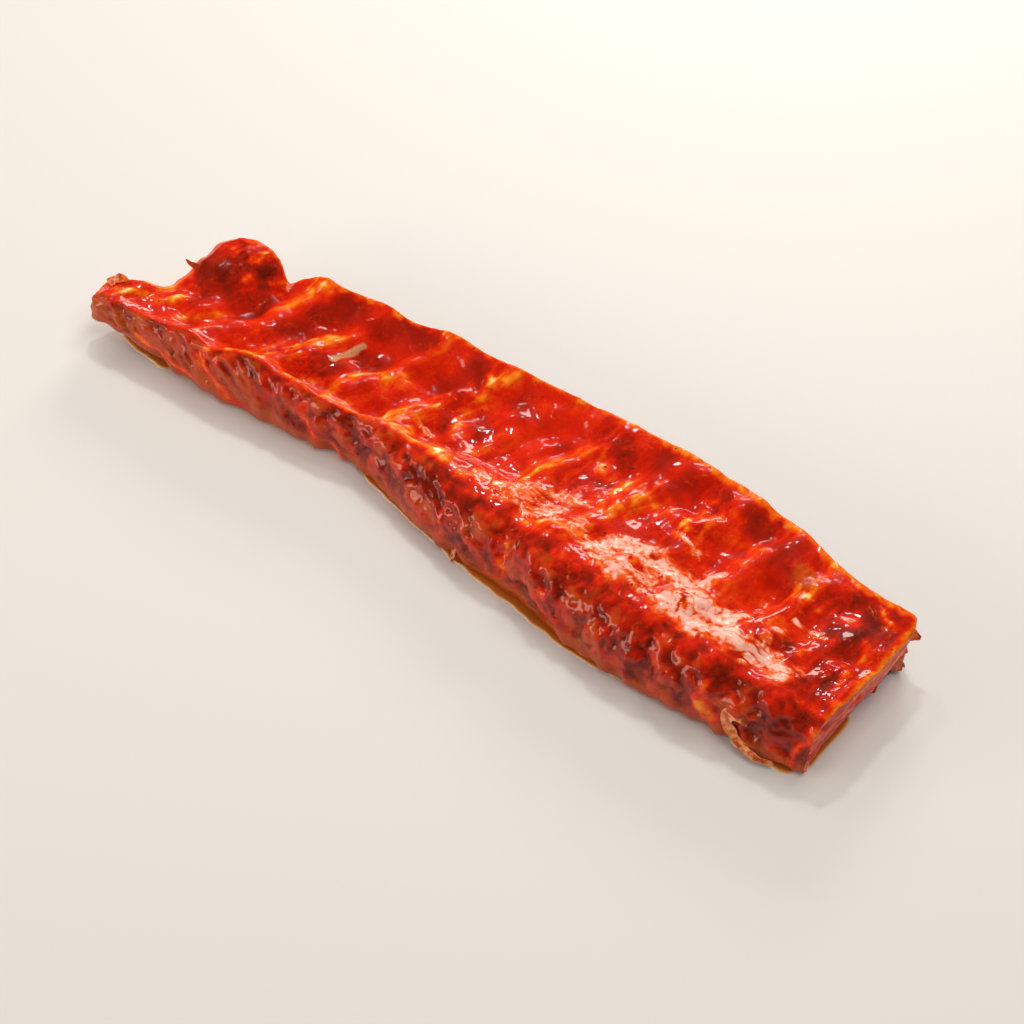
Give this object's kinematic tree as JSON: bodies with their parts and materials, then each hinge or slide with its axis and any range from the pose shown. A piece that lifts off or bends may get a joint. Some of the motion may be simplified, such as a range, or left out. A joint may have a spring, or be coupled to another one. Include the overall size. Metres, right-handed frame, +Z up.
{
  "type": "rack of pork ribs",
  "caption": "Cooked rack of pork back ribs, bone side up in glossy red barbecue sauce, with a shallow dish of bones between a meat ridge and a thin rim, cut square at one end",
  "frame": {"origin": "under the middle of the rack's bounding box, on the surface that it lies on", "axes": "+X along the rack to the square cut end, +Y from the thick meat face to the thin rim, +Z up from the surface"},
  "size_m": [0.3495, 0.0851, 0.0294],
  "materials": {
    "glazed_meat": "sticky glossy barbecue glaze over cooked meat, fat and bone"
  },
  "bodies": {
    "root": {"rack": "glazed_meat"}
  },
  "joints": []
}
